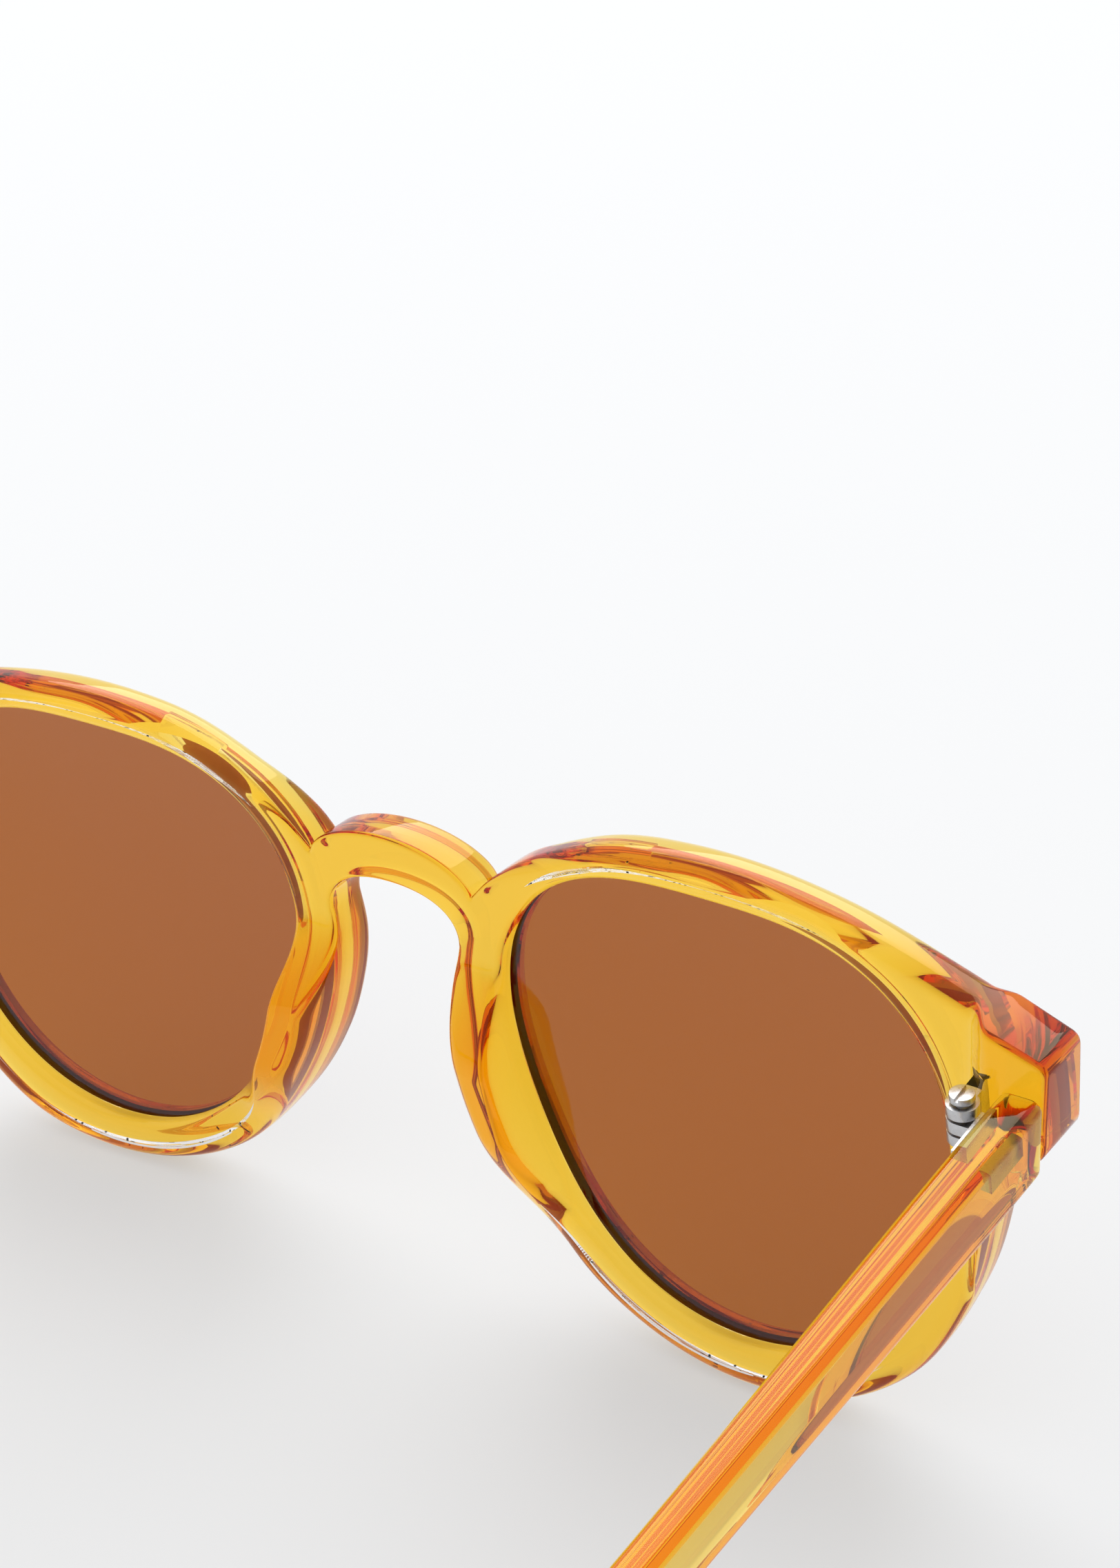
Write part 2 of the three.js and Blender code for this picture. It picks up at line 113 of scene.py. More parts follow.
def spline(points, count):
    """Catmull-Rom curve through the points, at even steps of its length."""
    points = np.array(points, float)
    ends = np.vstack([points[:1], points, points[-1:]])
    t = np.linspace(0, len(points) - 1, 40 * len(points))
    i = np.minimum(t.astype(int), len(points) - 2)
    f = (t - i)[:, None]
    p0, p1, p2, p3 = ends[i], ends[i + 1], ends[i + 2], ends[i + 3]
    v0, v1 = (p2 - p0) / 2, (p3 - p1) / 2
    cubic = 2 * p1 - 2 * p2 + v0 + v1
    square = -3 * p1 + 3 * p2 - 2 * v0 - v1
    curve = cubic * f**3 + square * f**2 + v0 * f + p1
    return even_steps(curve, count)


def even_steps(curve, count):
    """The same curve through count points, equally far apart."""
    length = np.concatenate([[0], np.cumsum(np.linalg.norm(np.diff(curve, axis=0), axis=1))])
    at = np.linspace(0, length[-1], count)
    return np.stack([np.interp(at, length, curve[:, k]) for k in range(2)], 1)


def end_piece(count):
    w, low, high = HALF_WIDTH, END_BOTTOM + 0.8, END_TOP
    parts = [
        bezier([(67, 5), (67.3, 7.6), (68.2, 8), (70.6, 8.2)], 40),
        bezier([(70.6, 8.2), (w, 8.3), (w, low)], 30),
        bezier([(w, low), (w, high)], 20),
        bezier([(w, high), (w, 18.2), END_CORNER], 30),
    ]
    return even_steps(np.vstack(parts), count)


RIM_TOP = [
    END_CORNER, (62, 21.7), (52, 24.6), (42, 26), (33, 25.9), (25, 24.5), (17, 20.9), (12.4, 17.6), NOTCH,
]
NOSE_AND_CHEEK = [
    ARCH_FOOT, (7.1, 4.2), (7.8, -1), (10.1, -8), (14.7, -16), (21.8, -23.8), (31, -28.3), (41, -29.5),
    (51, -27.4), (59.4, -20.8), (64.6, -11), (66.6, -2.5), (67, 5),
]
BRIDGE_UPPER = [NOTCH, (9.2, 16.8), (5.2, BRIDGE_TOP), (0, BRIDGE_TOP)]
BRIDGE_LOWER = [ARCH_FOOT, (7.9, 12), (4.6, BRIDGE_ARCH), (0, BRIDGE_ARCH)]


def opening_radius(angle):
    """The lens opening's radius: a circle made a little wider, tapered and squared."""
    wide = 0.35 * np.cos(2 * angle) - 0.5 * np.sin(2 * angle)
    taper = -0.2 * np.cos(3 * angle) + 1.2 * np.sin(3 * angle)
    square = -0.5 * np.cos(4 * angle) - 0.2 * np.sin(4 * angle)
    return OPENING_RADIUS + wide + taper + square


def opening_points(angle, growth=0.0):
    radius = opening_radius(angle) + growth
    return np.stack([LENS_CENTRE_X + radius * np.cos(angle), radius * np.sin(angle)], -1)


EDGES = [
    end_piece(60),
    spline(RIM_TOP, 160),
    spline(NOSE_AND_CHEEK, 320),
    bezier(BRIDGE_UPPER, 50),
    bezier(BRIDGE_LOWER, 50),
]


def distance_to_edge(points):
    flat = points.reshape(-1, 2)
    best = np.full(len(flat), np.inf)
    for line in EDGES:
        for a, b in zip(line[:-1], line[1:]):
            along = b - a
            t = np.clip((flat - a) @ along / max(along @ along, 1e-12), 0, 1)
            gap = flat - a - t[:, None] * along
            best = np.minimum(best, np.einsum("ij,ij->i", gap, gap))
    return np.sqrt(best).reshape(points.shape[:-1])


def distance_to_opening(points):
    x, z = points[..., 0] - LENS_CENTRE_X, points[..., 1]
    return np.maximum(np.hypot(x, z) - opening_radius(np.arctan2(z, x)), 0)


# ---- heights of the front's two faces ------------------------------------------------------------
def smooth(value, low, high):
    t = np.clip((value - low) / (high - low), 0, 1)
    return t * t * (3 - 2 * t)


def datum(points):
    return points[..., 0] ** 2 / (2 * WRAP_RADIUS) + points[..., 1] ** 2 / (2 * BROW_RADIUS)


def round_over(distance, radius):
    inside = np.clip(radius - distance, 0, None)
    return np.where(distance < radius, radius - np.sqrt(np.maximum(radius**2 - inside**2, 0)), 0)


def ridge_offset(z):
    return 1.45 + 0.078 * np.clip(-z, 0, 20)


def pad_share(points, edge):
    """How much of the pad's height stands at a point: a ridge near the lens, steep on the lens side."""
    x, z = points[..., 0], points[..., 1]
    along = smooth(z, -22, -9) * (1 - smooth(z, -3, 8)) * (1 - smooth(x, 24, 30))
    across, ridge = distance_to_opening(points), ridge_offset(z)
    rise = 1 - (1 - np.clip(across / ridge, 0, 1)) ** 1.7
    flank = np.clip(across - ridge, 0, None)
    return along * rise * (1 - 0.12 * flank / np.maximum(flank + edge, 0.01))


def lift(points, height):
    """Puts a point at its height; the pads flare outwards and the end pieces run level."""
    behind = np.maximum(height - datum(points) - REAR_FACE, 0)
    x = points[..., 0] + PAD_FLARE * np.where(points[..., 0] < 30, behind, 0)
    z = points[..., 1] - math.tan(TILT) * np.where(points[..., 0] > 60, behind, 0)
    return np.stack([x, height, z], -1)


def edge_radius(x, on_bridge, on_rim):
    """Radius of the outer edges, blended from the bridge over the rim to the end piece."""
    radius = on_bridge + (on_rim - on_bridge) * smooth(x, *BRIDGE_BLEND)
    return radius + (END_ROUND - radius) * smooth(x, *END_BLEND)


def rear_points(points):
    edge = distance_to_edge(points)
    pad = pad_share(points, edge)
    plate = datum(points) + REAR_FACE + PAD_HEIGHT * pad
    height = plate + (END_FACE - plate) * smooth(points[..., 0], *END_BLEND)
    radius = edge_radius(points[..., 0], BRIDGE_REAR_ROUND, REAR_ROUND) + PAD_ROUND * pad
    height = height - round_over(edge, radius)
    return lift(points, height - round_over(distance_to_opening(points), OPENING_ROUND))


def front_points(points):
    radius = edge_radius(points[..., 0], BRIDGE_FRONT_ROUND, FRONT_ROUND)
    rounding = round_over(distance_to_edge(points), radius)
    rounding = rounding + round_over(distance_to_opening(points), OPENING_ROUND)
    return lift(points, datum(points) - FRONT_FACE + rounding)


# ---- from the front's own frame to the row's -----------------------------------------------------
hinge_left = next(j for j in frame["record"]["behaviour"]["joints"] if j["child"] == "temple_left")["pos_m"]
HINGE_Y = HINGE_BACK * math.cos(TILT) - HINGE_UP * math.sin(TILT)
HINGE_Z = HINGE_BACK * math.sin(TILT) + HINGE_UP * math.cos(TILT)
ORIGIN_Y = hinge_left[1] * 1000 - HINGE_Y
ORIGIN_Z = hinge_left[2] * 1000 - HINGE_Z


def lean(points):
    """Leans the front back by its tilt about the lens centres' axis."""
    x, y, z = points[..., 0], points[..., 1], points[..., 2]
    back = y * math.cos(TILT) - z * math.sin(TILT)
    up = y * math.sin(TILT) + z * math.cos(TILT)
    return np.stack([x, back, up], -1)


def to_row(points):
    return (points + np.array([0, ORIGIN_Y, ORIGIN_Z])) / 1000


# ---- mesh helpers --------------------------------------------------------------------------------
def new_object(name, vertices, faces, material, sharp=35):
    mesh = bpy.data.meshes.new(name)
    mesh.from_pydata([tuple(v) for v in vertices], [], [tuple(f) for f in faces])
    work = bmesh.new()
    work.from_mesh(mesh)
    bmesh.ops.remove_doubles(work, verts=work.verts, dist=2e-6)
    bmesh.ops.recalc_face_normals(work, faces=work.faces)
    work.to_mesh(mesh)
    work.free()
    mesh.polygons.foreach_set("use_smooth", [True] * len(mesh.polygons))
    mesh.set_sharp_from_angle(angle=math.radians(sharp))
    mesh.materials.append(material)
    piece = bpy.data.objects.new(name, mesh)
    bpy.context.scene.collection.objects.link(piece)
    return piece


def grid_faces(rows, columns, start=0, close_rows=False, close_columns=False):
    """Quads of a grid of points that is stored row after row."""
    i = np.arange(rows if close_rows else rows - 1)
    j = np.arange(columns if close_columns else columns - 1)
    i, j = [k.ravel() for k in np.meshgrid(i, j, indexing="ij")]
    i2, j2 = (i + 1) % rows, (j + 1) % columns
    return np.stack([i * columns + j, i2 * columns + j, i2 * columns + j2, i * columns + j2], 1) + start


def tube_faces(rings, count):
    """Quads of a stack of closed rings, with one face over each end."""
    faces = [tuple(f) for f in grid_faces(rings, count, close_columns=True)]
    return faces + [tuple(range(count)), tuple(range((rings - 1) * count, rings * count))[::-1]]


# ---- the front -----------------------------------------------------------------------------------
DEEPEST_ROUND = 2.3
BRIDGE_ROOT = 6.5  # about the height of the bridge where it meets a rim
ROUNDING_STEPS = DEEPEST_ROUND * (1 - np.cos(np.radians(np.arange(0, 91, 9))))
OPENING_STEPS = OPENING_ROUND * (1 - np.cos(np.radians(np.arange(0, 91, 15))))
BRIDGE_ROWS = np.concatenate([
    ROUNDING_STEPS / BRIDGE_ROOT,
    np.linspace(DEEPEST_ROUND, BRIDGE_ROOT - DEEPEST_ROUND, 9)[1:-1] / BRIDGE_ROOT,
    1 - ROUNDING_STEPS[::-1] / BRIDGE_ROOT,
])
BRIDGE_STEPS = 60
GROOVE_FLOOR = 0.2  # half the width of the lens groove's floor


def front_columns():
    """Points round one rim's outline, and the number of them before the joint with the bridge."""
    interface = np.array(NOTCH) + (np.array(ARCH_FOOT) - np.array(NOTCH)) * BRIDGE_ROWS[:, None]
    end, top = end_piece(90)[:-1], spline(RIM_TOP, 200)[:-1]
    nose = spline(NOSE_AND_CHEEK, 330)[1:-1]
    return np.vstack([end, top, interface, nose]), len(end) + len(top)


def rim_sections(outer):
    """Closed sections of the rim: rear face outwards, front face inwards, then the lens groove."""
    angle = np.arctan2(outer[:, 1], outer[:, 0] - LENS_CENTRE_X)
    inner = opening_points(angle)
    width = np.linalg.norm(outer - inner, axis=1)[:, None]
    ridge, far = ridge_offset(inner[:, 1])[:, None], width - ROUNDING_STEPS[-1]
    stops = np.hstack([
        np.repeat(OPENING_STEPS[None], len(outer), 0),
        OPENING_ROUND + (ridge - OPENING_ROUND) * np.linspace(0, 1, 9)[1:],
        ridge + (far - ridge) * np.linspace(0, 1, 9)[1:-1],
        width - ROUNDING_STEPS[::-1],
    ])
    face = inner[:, None] + (outer - inner)[:, None] * (stops / width)[:, :, None]
    half, middle = LENS_THICKNESS / 2 + CLEARANCE, LENS_REAR + LENS_THICKNESS / 2
    groove = []
    for growth, shift in ((0, half), (GROOVE_DEPTH, GROOVE_FLOOR), (GROOVE_DEPTH, -GROOVE_FLOOR), (0, -half)):
        at = opening_points(angle, growth)
        groove.append(np.stack([at[:, 0], datum(inner) - (middle + shift), at[:, 1]], -1))
    rear, ahead = rear_points(face), front_points(face)[:, ::-1]
    return np.concatenate([rear, ahead, np.stack(groove, 1)], 1), face.shape[1] - 1


def front_half():
    """The left rim and the left half of the bridge, with the rim left open where the bridge meets it."""
    columns, first = front_columns()
    sections, wall = rim_sections(columns)
    rows, count = sections.shape[:2]
    faces = grid_faces(rows, count, close_rows=True, close_columns=True)
    i, j = faces[:, 0] // count, faces[:, 0] % count
    inside = (j == wall) & (i >= first) & (i < first + len(BRIDGE_ROWS) - 1)
    vertices, faces = sections.reshape(-1, 3), faces[~inside]
    upper, lower = bezier(BRIDGE_UPPER, BRIDGE_STEPS), bezier(BRIDGE_LOWER, BRIDGE_STEPS)
    sheet = upper[:, None] + (lower - upper)[:, None] * BRIDGE_ROWS[None, :, None]
    rear, ahead = rear_points(sheet), front_points(sheet)
    ring = np.concatenate([rear, ahead[:, ::-1]], 1)
    bridge = grid_faces(BRIDGE_STEPS, ring.shape[1], start=len(vertices), close_columns=True)
    return np.vstack([vertices, ring.reshape(-1, 3)]), np.vstack([faces, bridge[:, ::-1]])


def make_front(material):
    vertices, faces = front_half()
    mirrored = vertices * np.array([-1, 1, 1])
    both = to_row(lean(np.vstack([vertices, mirrored])))
    piece = new_object("front", both, np.vstack([faces, faces[:, ::-1] + len(vertices)]), material)
    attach(piece, "front")
    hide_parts("front_frame")


# ---- lenses --------------------------------------------------------------------------------------
LENS_SPOKES = 288
LENS_RINGS = 30
LENS_EDGE_FLAT = 0.12  # half the width of the flat round the lens's edge


def make_lens(side, word, material, edge_material):
    spokes, shares = LENS_SPOKES, np.linspace(0.02, 1, LENS_RINGS)
    angle = np.linspace(0, 2 * np.pi, spokes, endpoint=False)
    edge = opening_points(angle, LENS_SHOULDER)
    centre = np.array([LENS_CENTRE_X, 0])
    flat = centre + (edge - centre)[None] * shares[:, None, None]
    bulge = LENS_BULGE * (1 - shares**2)[:, None]
    rear = np.stack([flat[..., 0], datum(flat) - LENS_REAR - bulge, flat[..., 1]], -1)
    ahead = rear - np.array([0, LENS_THICKNESS, 0])
    ridge = opening_points(angle, GROOVE_DEPTH - CLEARANCE)
    middle = datum(edge) - LENS_REAR - LENS_THICKNESS / 2
    heights = (LENS_EDGE_FLAT, -LENS_EDGE_FLAT)
    bevel = np.stack([np.stack([ridge[:, 0], middle + h, ridge[:, 1]], -1) for h in heights])
    points = np.concatenate([rear, bevel, ahead[::-1]])
    faces = tube_faces(len(points), spokes)
    points = points.reshape(-1, 3) * np.array([side, 1, 1])
    piece = new_object(f"lens_glass_{word}", to_row(lean(points)), faces, material)
    piece.data.materials.append(edge_material)
    for k in range((LENS_RINGS - 1) * spokes, (LENS_RINGS + 2) * spokes):
        piece.data.polygons[k].material_index = 1
    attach(piece, "front")
    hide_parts(f"lens_{word}")


# ---- temples -------------------------------------------------------------------------------------
TEMPLE_STRAIGHT = 78
TEMPLE_BEND_RADIUS = 32
TEMPLE_BEND = math.radians(48)
TEMPLE_TIP = 40.2
TEMPLE_TOP = 15.8
TEMPLE_EDGE = 1.2
BUTT_HEIGHT = 7.9
BUTT_WIDTH = 4.2
TAPER_END = 64
TAPER_HEIGHT = 1.4
TAPER_WIDTH = 0.8
TIP_START = 80
TIP_HEIGHT_GAIN = 0.9
TIP_WIDTH_LOSS = 0.7
TIP_SWING = 1.5  # how far the tip turns in, besides the lean of the whole temple
LEAN_PER_MM = 0.028
TIP_EDGE = 0.45  # share of the thickness that is left at the very end
TIP_ROUND = 4
BUTT_BLEND = (1, 12)
BUTT_INSETS = (0.35, 0.1, 0)
CORNER_POINTS = 12
BEND_LENGTH = TEMPLE_BEND_RADIUS * TEMPLE_BEND
TEMPLE_LENGTH = TEMPLE_STRAIGHT + BEND_LENGTH + TEMPLE_TIP


def butt_y(z):
    """How far back the leaning butt end stands at a height."""
    back = END_FACE + CLEARANCE
    return back * math.cos(TILT) - math.tan(TILT) * (z - back * math.sin(TILT))


def rounded_section(wide, tall):
    """Points round a rounded rectangle, given by its half sizes."""
    edge = min(TEMPLE_EDGE, wide * 0.75, tall * 0.75)
    turn = np.linspace(0, math.pi / 2, CORNER_POINTS)
    corners = []
    for quarter, (sx, sz) in enumerate([(1, 1), (-1, 1), (-1, -1), (1, -1)]):
        angle = turn + quarter * math.pi / 2
        across = sx * (wide - edge) + edge * np.cos(angle)
        up = sz * (tall - edge) + edge * np.sin(angle)
        corners.append(np.stack([across, up], 1))
    return np.vstack(corners).T


def temple_start(run, z, top):
    """The butt end follows the front's lean; the sections behind it blend to upright ones."""
    if run < BUTT_BLEND[0]:
        return butt_y(z)
    if run < BUTT_BLEND[1]:
        return butt_y(z) + (butt_y(top) - butt_y(z)) * smooth(run, *BUTT_BLEND)
    return butt_y(top)


def temple_ring(run):
    """One closed section of the temple, its corners rounded, at a distance from the butt end."""
    taper, widen = smooth(run, 0, TAPER_END), smooth(run, TIP_START, TEMPLE_LENGTH)
    tall = (BUTT_HEIGHT - TAPER_HEIGHT * taper + TIP_HEIGHT_GAIN * widen) / 2
    wide = (BUTT_WIDTH - TAPER_WIDTH * taper - TIP_WIDTH_LOSS * widen) / 2
    centre_x, top = HALF_WIDTH - wide - LEAN_PER_MM * run - TIP_SWING * widen**2, TEMPLE_TOP - tall
    end = math.sqrt(max(1 - (1 - min((TEMPLE_LENGTH - run) / tall, 1)) ** 2, 1e-4))
    across, up = rounded_section(wide * (TIP_EDGE + (1 - TIP_EDGE) * end), tall * end)
    turned = min(max(run - TEMPLE_STRAIGHT, 0), BEND_LENGTH) / TEMPLE_BEND_RADIUS
    beyond = max(run - TEMPLE_STRAIGHT - BEND_LENGTH, 0)
    y = min(run, TEMPLE_STRAIGHT) + TEMPLE_BEND_RADIUS * math.sin(turned) + beyond * math.cos(turned)
    fall = TEMPLE_BEND_RADIUS * (1 - math.cos(turned)) + beyond * math.sin(turned)
    z = top - fall + up * math.cos(turned)
    return np.stack([centre_x + across, temple_start(run, z, top) + y + up * math.sin(turned), z], 1)


def make_temple(side, word, material):
    runs = np.concatenate([
        [0, 0.15, 0.4],
        np.linspace(0.8, TEMPLE_LENGTH - TIP_ROUND, 150),
        TEMPLE_LENGTH - TIP_ROUND * np.linspace(1, 0, 16)[1:] ** 2,
    ])
    rings = [temple_ring(run) for run in runs]
    for ring, inset in zip(rings, BUTT_INSETS):
        centre = ring.mean(0)
        scale = 1 - inset / np.linalg.norm(ring - centre, axis=1)[:, None]
        ring[:] = centre + (ring - centre) * scale
    faces = tube_faces(len(rings), len(rings[0]))
    points = np.vstack(rings) * np.array([side, 1, 1])
    piece = new_object(f"temple_arm_{word}", to_row(points), faces, material)
    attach(piece, f"temple_{word}")
    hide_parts(f"temple_{word}")


# ---- hinges --------------------------------------------------------------------------------------
KNUCKLE_RADIUS = 1.5
KNUCKLE_BORE = 0.85
SCREW_RADIUS = 0.5
MIDDLE_KNUCKLE = 1.2
OUTER_KNUCKLE = 1.1
KNUCKLE_SHIFT = MIDDLE_KNUCKLE / 2 + CLEARANCE + OUTER_KNUCKLE / 2
BARREL_HALF = KNUCKLE_SHIFT + OUTER_KNUCKLE / 2
LEAF_REACH = 2.2
LEAF_WIDTH = 1.6
HEAD_RADIUS = 1.15
HEAD_HEIGHT = 0.7
METAL_BEVEL = 0.12
SCREW_BEVEL = 0.08
ROUND_SIDES = 64


def rough_object(build):
    """A working object, in millimetres round the hinge's centre, that make_hardware uses up."""
    work = bmesh.new()
    build(work)
    mesh = bpy.data.meshes.new("working")
    work.to_mesh(mesh)
    work.free()
    thing = bpy.data.objects.new("working", mesh)
    bpy.context.scene.collection.objects.link(thing)
    return thing


def post(radius, height, centre=(0, 0, 0)):
    def build(work):
        place = Matrix.Translation(centre)
        bmesh.ops.create_cone(work, cap_ends=True, segments=ROUND_SIDES, radius1=radius, radius2=radius,
                              depth=height, matrix=place)
    return rough_object(build)


def block(size, centre):
    def build(work):
        bmesh.ops.create_cube(work, size=1, matrix=Matrix.Translation(centre) @ Matrix.Diagonal((*size, 1)))
    return rough_object(build)


def make_hardware(name, pieces, cuts, side, bevel, material):
    """Joins the pieces, cuts the others away, bevels the edges and puts the result at the hinge."""
    base = pieces[0]
    for other, kind in [(p, "UNION") for p in pieces[1:]] + [(c, "DIFFERENCE") for c in cuts]:
        step = base.modifiers.new("join", "BOOLEAN")
        step.operation = kind
        step.solver = "EXACT"
        step.object = other
    edge = base.modifiers.new("edge", "BEVEL")
    edge.width = bevel
    edge.segments = 3
    edge.limit_method = "ANGLE"
    edge.angle_limit = math.radians(40)
    shape = bpy.data.meshes.new_from_object(base.evaluated_get(bpy.context.evaluated_depsgraph_get()))
    for used in pieces + cuts:
        bpy.data.objects.remove(used)
    points = np.array([v.co for v in shape.vertices]) * np.array([side, 1, 1])
    faces = [tuple(f.vertices) for f in shape.polygons]
    centre = np.array([side * hinge_left[0], hinge_left[1], hinge_left[2]])
    return new_object(name, points / 1000 + centre, faces, material)


def make_front_leaf(word, side, material, painted_shade):
    """Two knuckles on one anchor; the anchor's top is painted near-black, a painted shade where it runs into
    the end piece.
    """
    pieces = []
    for up in (KNUCKLE_SHIFT, -KNUCKLE_SHIFT):
        pieces.append(post(KNUCKLE_RADIUS, OUTER_KNUCKLE, (0, 0, up)))
        pieces.append(block((LEAF_WIDTH, LEAF_REACH, OUTER_KNUCKLE), (0, -LEAF_REACH / 2, up)))
    pieces.append(block((LEAF_WIDTH, 3.4, 2 * BARREL_HALF), (0, -3.7, 0)))
    bore = post(KNUCKLE_BORE, 8)
    leaf = make_hardware(f"front_leaf_{word}", pieces, [bore], side, METAL_BEVEL, material)
    leaf.data.materials.append(painted_shade)
    anchor = hinge_left[1] - LEAF_REACH / 1000
    # The anchor's up-facing faces behind the knuckles get the near-black steel: painted shade where the
    # anchor runs into the end piece.
    for face in leaf.data.polygons:
        face.material_index = int(face.center.y < anchor and face.normal.z > 0.5)
    return leaf


def make_temple_leaf(word, side, material):
    """The middle knuckle, its arm and the plate inside the temple."""
    pieces = [
        post(KNUCKLE_RADIUS, MIDDLE_KNUCKLE),
        block((3.4, 1.3, MIDDLE_KNUCKLE), (1.7, 0.85, 0)),
        block((1.5, 5.6, 3.4), (2.65, 3, 0)),
    ]
    bore = post(KNUCKLE_BORE, 8)
    return make_hardware(f"temple_leaf_{word}", pieces, [bore], side, METAL_BEVEL, material)


def make_screw(word, side, material):
    under_head = BARREL_HALF + CLEARANCE
    length = BARREL_HALF + under_head + 0.1
    shank = post(SCREW_RADIUS, length, (0, 0, under_head - length / 2))
    head = post(HEAD_RADIUS, HEAD_HEIGHT, (0, 0, under_head + 0.34))
    slot = block((0.35, 3, 0.4), (0, 0, under_head + 0.6))
    return make_hardware(f"screw_{word}", [shank, head], [slot], side, SCREW_BEVEL, material)


def make_hinge(side, word, material, painted_shade):
    leaf = make_front_leaf(word, side, material, painted_shade)
    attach(leaf, "front")
    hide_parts(f"hinge_front_leaf_{word}")
    plate = make_temple_leaf(word, side, material)
    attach(plate, f"temple_{word}")
    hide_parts(f"hinge_temple_leaf_{word}")
    screw = make_screw(word, side, material)
    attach(screw, "front")
    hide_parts(f"hinge_screw_{word}")


# ---- materials -----------------------------------------------------------------------------------
CLEAR_PLASTIC_IOR = 1.5


def new_material(name):
    material = bpy.data.materials.new(name)
    material.use_nodes = True
    nodes, links = material.node_tree.nodes, material.node_tree.links
    return material, nodes, links, nodes["Principled BSDF"]


def add_noise(nodes, links, scale, detail=2):
    place = nodes.new("ShaderNodeTexCoord")
    noise = nodes.new("ShaderNodeTexNoise")
    noise.inputs["Scale"].default_value = scale
    noise.inputs["Detail"].default_value = detail
    links.new(place.outputs["Object"], noise.inputs["Vector"])
    return noise.outputs["Fac"]


def vary_roughness(nodes, links, shader, noise, low, high):
    spread = nodes.new("ShaderNodeMapRange")
    spread.inputs["To Min"].default_value = low
    spread.inputs["To Max"].default_value = high
    links.new(noise, spread.inputs["Value"])
    links.new(spread.outputs["Result"], shader.inputs["Roughness"])


def vary_colour(nodes, links, shader, noise, first, second):
    tint = nodes.new("ShaderNodeValToRGB")
    tint.color_ramp.elements[0].color = (*first, 1)
    tint.color_ramp.elements[1].color = (*second, 1)
    links.new(noise, tint.inputs["Fac"])
    links.new(tint.outputs["Color"], shader.inputs["Base Color"])


def clear_plastic(name, colour, density, gloss, roughness):
    """Polished see-through plastic: the colour comes from how far light travels inside it."""
    material, nodes, links, shader = new_material(name)
    shader.inputs["Base Color"].default_value = (1, 1, 1, 1)
    shader.inputs["Transmission Weight"].default_value = 1
    shader.inputs["IOR"].default_value = CLEAR_PLASTIC_IOR
    shader.inputs["Specular Tint"].default_value = (*gloss, 1)
    noise = add_noise(nodes, links, 120, 3)
    vary_roughness(nodes, links, shader, noise, roughness * 0.5, roughness * 1.5)
    inside = nodes.new("ShaderNodeVolumeAbsorption")
    inside.inputs["Color"].default_value = (*colour, 1)
    inside.inputs["Density"].default_value = density
    links.new(inside.outputs["Volume"], nodes["Material Output"].inputs["Volume"])
    return material


def ground_edge():
    """The lens's ground edge: matt dark red-brown, because the tint is seen along the lens."""
    material, nodes, links, shader = new_material("lens_edge")
    shader.inputs["Roughness"].default_value = 0.6
    noise = add_noise(nodes, links, 900)
    vary_colour(nodes, links, shader, noise, (0.42, 0.09, 0.07), (0.56, 0.13, 0.1))
    return material


def steel(name, dark, light):
    """Satin steel, its tone and gloss varying a little."""
    material, nodes, links, shader = new_material(name)
    shader.inputs["Metallic"].default_value = 1
    noise = add_noise(nodes, links, 2500)
    vary_roughness(nodes, links, shader, noise, 0.2, 0.4)
    vary_colour(nodes, links, shader, noise, (dark, dark, dark), (light, light, light * 1.03))
    return material


amber = clear_plastic("amber_plastic", (0.986, 0.829, 0.0), 505, (1, 0.75, 0.4), 0.02)
brown = clear_plastic("brown_lens", (0.843, 0.613, 0.0), 2520, (1, 1, 1), 0.02)
ground = ground_edge()
metal = steel("hinge_steel", 0.5, 0.68)
# Near-black steel, used only as painted shade on the hinge anchor's top.
painted_shade_steel = steel("hinge_painted_shade", 0.01, 0.03)

make_front(amber)
for word, side in (("left", 1), ("right", -1)):
    make_lens(side, word, brown, ground)
    make_temple(side, word, amber)
    make_hinge(side, word, metal, painted_shade_steel)


# ---- floor, light and camera ---------------------------------------------------------------------
FLOOR_HALF = 15
FLOOR_DROP = 0.0001


def make_floor():
    """A pale floor that glows a little more on the side away from the camera."""
    material, nodes, links, shader = new_material("studio_floor")
    shader.inputs["Base Color"].default_value = (0.412, 0.42, 0.43, 1)
    shader.inputs["Roughness"].default_value = 0.8
    shader.inputs["Specular IOR Level"].default_value = 0.1
    place = nodes.new("ShaderNodeTexCoord")
    away = nodes.new("ShaderNodeVectorMath")
    away.operation = "DOT_PRODUCT"
    away.inputs[1].default_value = (0.607, -0.794, 0)
    links.new(place.outputs["Object"], away.inputs[0])
    glow = nodes.new("ShaderNodeMapRange")
    glow.interpolation_type = "SMOOTHSTEP"
    glow.inputs["From Min"].default_value = -0.02
    glow.inputs["From Max"].default_value = 0.06
    glow.inputs["To Min"].default_value = 0.38
    glow.inputs["To Max"].default_value = 0.43
    links.new(away.outputs["Value"], glow.inputs["Value"])
    shader.inputs["Emission Color"].default_value = (1, 1, 1, 1)
    links.new(glow.outputs["Result"], shader.inputs["Emission Strength"])
    corners = np.array([(-1, -1, 0), (1, -1, 0), (1, 1, 0), (-1, 1, 0)], float) * FLOOR_HALF
    floor = new_object("studio_floor", corners, [(0, 1, 2, 3)], material)
    floor.location.z = cad_box[0][2] - FLOOR_DROP


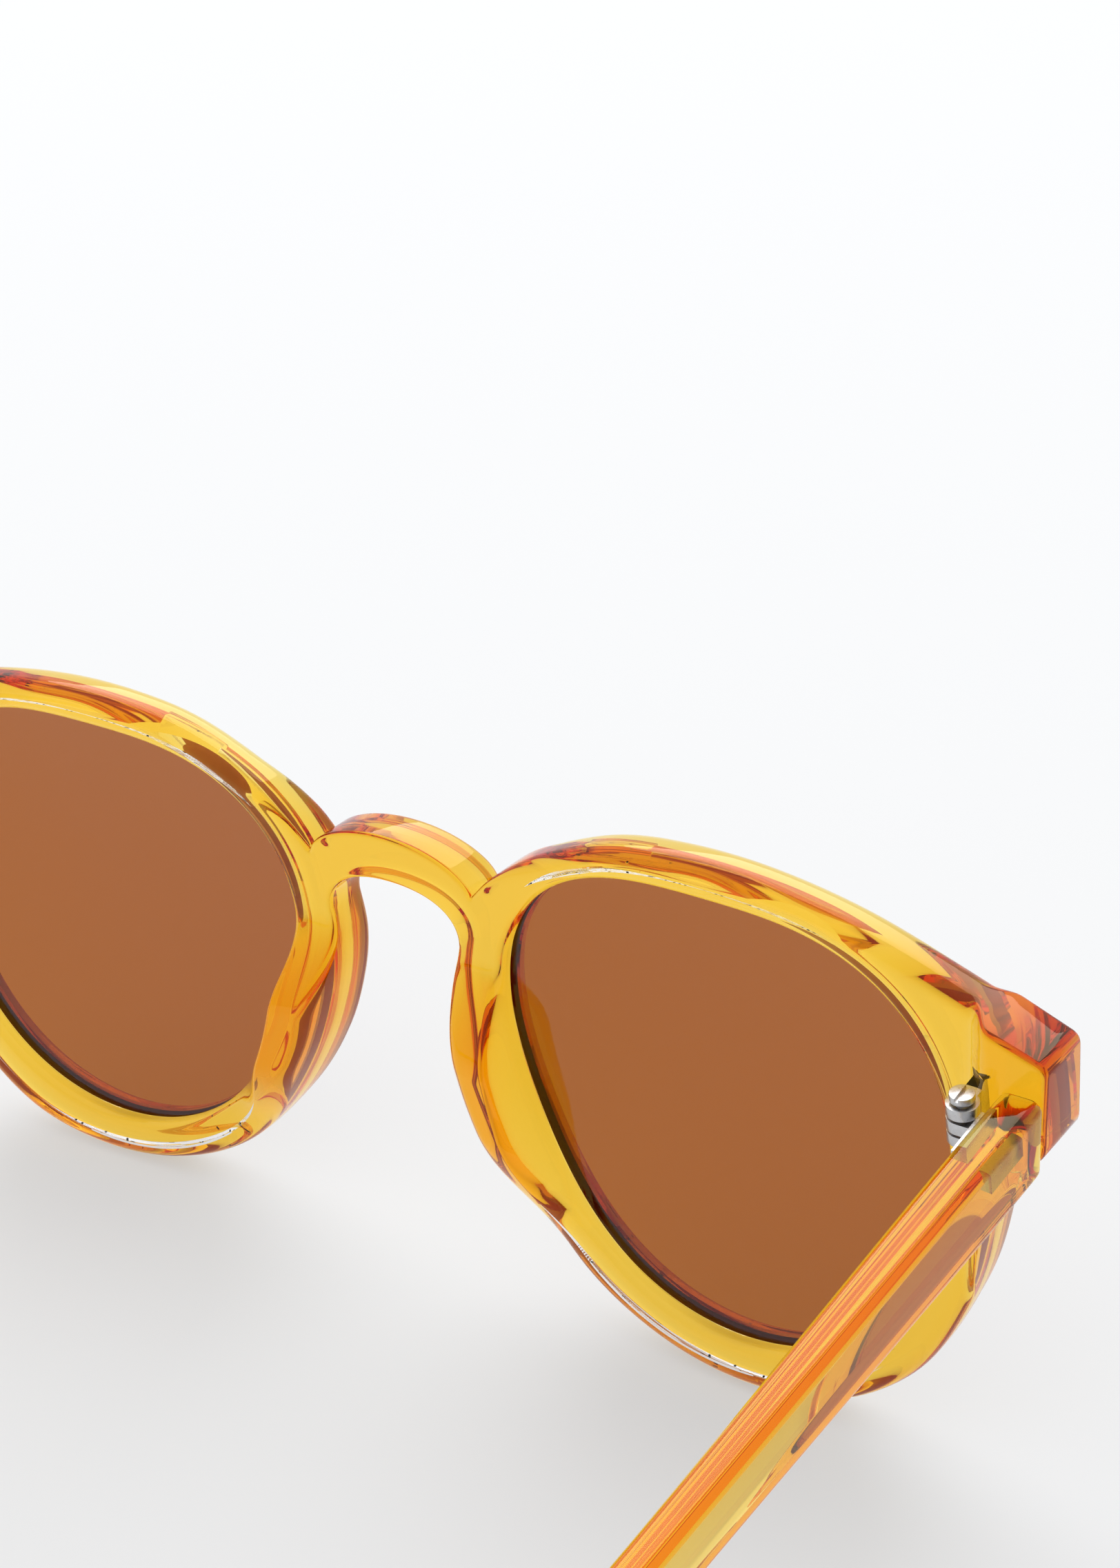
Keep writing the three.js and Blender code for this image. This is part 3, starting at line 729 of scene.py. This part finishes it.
def make_key_light():
    """A large round lamp high in front; it isn't seen through the clear plastic."""
    data = bpy.data.lights.new("key", "AREA")
    data.shape = "DISK"
    data.size = 2.6
    data.energy = 41
    place, aim = Vector((0.8, -1.7, 1.8)), Vector((0.1, -0.3, 0))
    light = bpy.data.objects.new("key", data)
    light.location = place
    light.rotation_euler = (aim - place).to_track_quat("-Z", "Y").to_euler()
    light.visible_transmission = False
    bpy.context.scene.collection.objects.link(light)


def make_world():
    """White light, brightest from high in front of the glasses."""
    world = bpy.data.worlds.new("studio")
    bpy.context.scene.world = world
    world.use_nodes = True
    nodes, links = world.node_tree.nodes, world.node_tree.links
    background = nodes["Background"]
    place = nodes.new("ShaderNodeTexCoord")
    ahead = nodes.new("ShaderNodeVectorMath")
    ahead.operation = "DOT_PRODUCT"
    ahead.inputs[1].default_value = (0.55, -0.72, 0.42)
    links.new(place.outputs["Generated"], ahead.inputs[0])
    level = nodes.new("ShaderNodeMapRange")
    level.interpolation_type = "SMOOTHSTEP"
    level.inputs["From Min"].default_value = -0.9
    level.inputs["From Max"].default_value = 0.5
    level.inputs["To Min"].default_value = 0.32
    level.inputs["To Max"].default_value = 1.0
    links.new(ahead.outputs["Value"], level.inputs["Value"])
    links.new(level.outputs["Result"], background.inputs["Strength"])
    background.inputs["Color"].default_value = (1, 1, 1, 1)


def make_camera():
    """Behind and above the right temple, looking forwards and down, rolled a little."""
    azimuth, pitch, roll = math.radians(142.6), math.radians(-32.76), math.radians(-7.3)
    reach = math.cos(pitch)
    forward = Vector((math.sin(azimuth) * reach, math.cos(azimuth) * reach, math.sin(pitch)))
    level = forward.cross(Vector((0, 0, 1))).normalized()
    upright = level.cross(forward)
    right = level * math.cos(roll) + upright * math.sin(roll)
    up = right.cross(forward)
    data = bpy.data.cameras.new("camera")
    data.sensor_fit = "VERTICAL"
    data.sensor_height = 36
    data.lens = 72.4
    camera = bpy.data.objects.new("camera", data)
    turn = Matrix((right, up, -forward)).transposed().to_4x4()
    camera.matrix_world = Matrix.Translation((-0.1687, 0.1265, 0.2157)) @ turn
    bpy.context.scene.collection.objects.link(camera)
    bpy.context.scene.camera = camera


make_floor()
make_world()
make_key_light()
make_camera()
scene = bpy.context.scene
scene.view_settings.view_transform = "Standard"
# Light crosses several clear walls here, and too few bounces would leave black patches.
scene.cycles.max_bounces = 64
scene.cycles.transmission_bounces = 64
scene.cycles.glossy_bounces = 16
